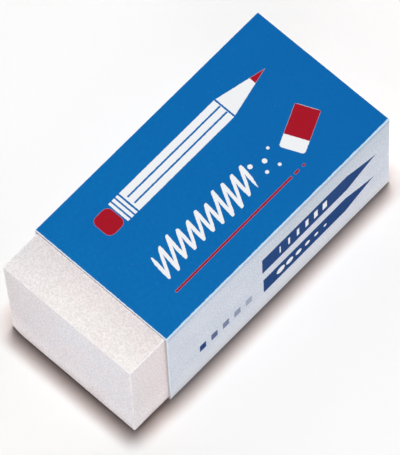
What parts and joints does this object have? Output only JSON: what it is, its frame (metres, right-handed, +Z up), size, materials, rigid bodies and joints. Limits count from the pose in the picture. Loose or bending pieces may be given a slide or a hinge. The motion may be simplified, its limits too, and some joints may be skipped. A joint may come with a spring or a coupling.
{
  "type": "block eraser in a card sleeve",
  "caption": "Small rectangular block eraser of soft white plastic in a folded, printed card sleeve that slides along it and leaves one end bare for rubbing.",
  "frame": {"origin": "middle of the whole object's underside, on the surface it lies on", "axes": "+X along the block towards the covered end, the bare end facing -X; +Y towards the side with the glued lap; +Z up"},
  "size_m": [0.0412, 0.0198, 0.0161],
  "materials": {
    "white_vinyl": "matte",
    "printed_card": "matte"
  },
  "bodies": {
    "block": {"eraser_block": "white_vinyl"},
    "sleeve": {"card_sleeve": "printed_card"}
  },
  "joints": [
    {"name": "sleeve_slide", "type": "slide", "parent": "block", "child": "sleeve", "axis": [1, 0, 0], "range_m": [-0.0413, 0.0355]}
  ]
}
